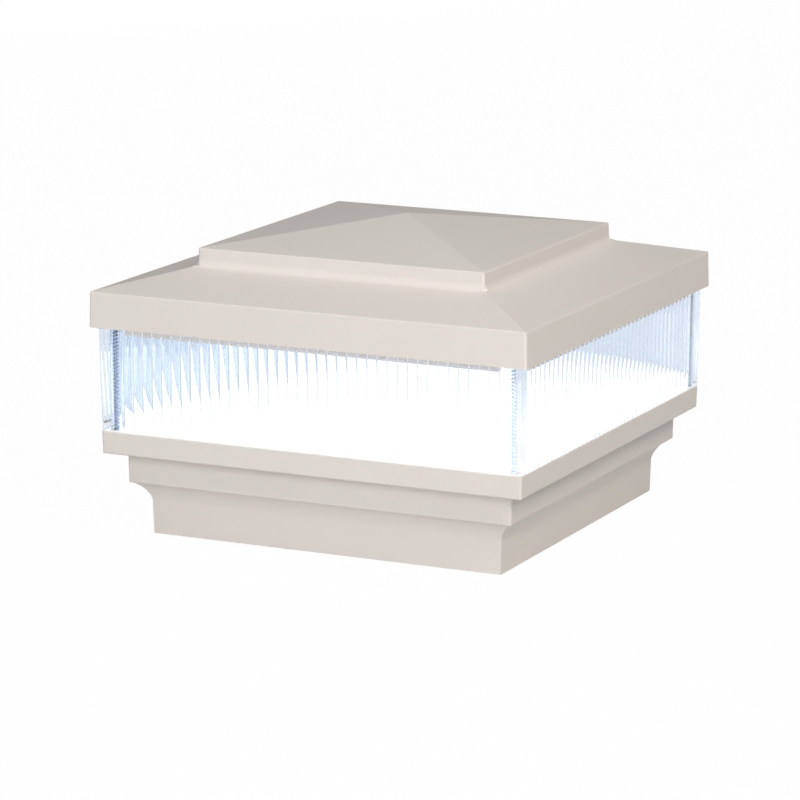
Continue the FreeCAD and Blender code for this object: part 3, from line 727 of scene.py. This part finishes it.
def makeInserts():
    low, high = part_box("threaded_inserts")
    bore, outer = ringSetup["insertBore"], ringSetup["insertRadius"]
    groove = ringSetup["insertGroove"]
    tall = high.z - low.z
    one, two, three, four = [share * tall for share in ringSetup["grooveHeights"]]
    insert = turnOnLathe("insert1", [
        (bore, 0), (outer - groove, 0), (outer, groove), (outer, one), (outer - groove, two),
        (outer - groove, three), (outer, four), (outer, tall - groove), (outer - groove, tall),
        (bore, tall)], ringSetup["steps"])
    closeUp(insert)
    for piece in inCorners(insert, "insert", high.x - outer, low.z):
        ridesAs(piece, "cap", "brass", "brass", "threaded_inserts")


def makeGrommet():
    low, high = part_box("cable_grommet")
    bore, neck, edge = ringSetup["grommetBore"], ringSetup["grommetNeck"], ringSetup["grommetEdge"]
    outer = (high.x - low.x) / 2
    tall = high.z - low.z
    lip, flange = ringSetup["grommetLip"], tall - ringSetup["grommetFlange"]
    grommet = turnOnLathe("grommet", [
        (bore + edge, 0), (outer - edge, 0), (outer, edge), (outer, lip - edge),
        (outer - edge, lip), (neck, lip), (neck, flange), (outer - edge, flange),
        (outer, flange + edge),
        (outer, tall - edge), (outer - edge, tall), (bore + edge, tall), (bore, tall - edge),
        (bore, edge)], ringSetup["steps"])
    closeUp(grommet)
    carryTo(grommet, (low.x + high.x) / 2, (low.y + high.y) / 2, low.z)
    ridesAs(grommet, "base", "rubber_black", "rubber", "cable_grommet")


# ---- cove: the deeper hollow under the step, a mitred square ring let into the base ----
coveSetup = {
    "stepFoot": 19.0 * mm,
    "inner": 66.0 * mm,         # half widths, of which the first lies inside the skirt's wall
    "skirt": 67.1 * mm,
    "outer": 72.8 * mm,
    "fall": 7.0 * mm,
    "sunk": 0.2 * mm,
    "flatness": 1.33,           # 1 is a quarter of an ellipse, 2 a straight slope
    "arcSteps": 14,
}


def makeCove():
    foot, inner, outer = coveSetup["stepFoot"], coveSetup["inner"], coveSetup["outer"]
    fall, flatness = coveSetup["fall"], coveSetup["flatness"]
    reach = outer - coveSetup["skirt"]
    halves = [(inner, foot + coveSetup["sunk"]), (outer, foot + coveSetup["sunk"])]
    for index in range(coveSetup["arcSteps"] + 1):
        turn = math.pi / 2 * index / coveSetup["arcSteps"]
        halves.append((outer - reach * math.sin(turn) ** flatness,
                       foot - fall + fall * math.cos(turn) ** flatness))
    halves.append((inner, foot - fall))
    cove = turnOnLathe("cove", [(half * math.sqrt(2), height) for half, height in halves], 4)
    bpy.ops.mesh.select_all(action="SELECT")
    bpy.ops.transform.rotate(value=math.pi / 4, orient_axis="Z", center_override=(0, 0, 0))
    closeUp(cove)
    ridesAs(cove, "base", "white_plastic", "basePlastic")


# ---- rib foot: the lower edge of the roof's inner ribs, which shows through the reeds ----
ribFootSetup = {
    "outer": 75.95 * mm,
    "thick": 1.6 * mm,
    "length": 141.8 * mm,
    "foot": 72.45 * mm,
    "top": 73.65 * mm,
}


def makeRibFoot():
    outer, thick = ribFootSetup["outer"], ribFootSetup["thick"]
    foot, top = ribFootSetup["foot"], ribFootSetup["top"]
    ribFoot = addBlock("ribFoot", (outer - thick / 2, 0, (foot + top) / 2),
                       (thick, ribFootSetup["length"], top - foot))
    bpy.ops.object.mode_set(mode="EDIT")
    bpy.ops.mesh.select_all(action="SELECT")
    onAllSides()
    closeUp(ribFoot)
    ridesAs(ribFoot, "cap", "white_plastic", "whitePlastic")


print("camera, lamps and floor")
addCamera()
addWorld()
addLamps()
addDarkCard()
addFloor()

print("finishes")
for name, setup in finishes.items():
    newFinish(name, setup)
for node, finishName in partFinish.items():
    paint(cadNodes[node], finishName)

print("lens")
makeLens()
print("cove and rib foot")
makeCove()
makeRibFoot()
print("screws")
makeTieScrews()
makeReflectorScrews()
print("rings")
makeWashers()
makeInserts()
makeGrommet()

scene = bpy.context.scene
scene.view_settings.view_transform = "Standard"
scene.cycles.glossy_bounces = 24   # light turns many times inside the reeds
scene.cycles.transmission_bounces = 24
scene.cycles.max_bounces = 32
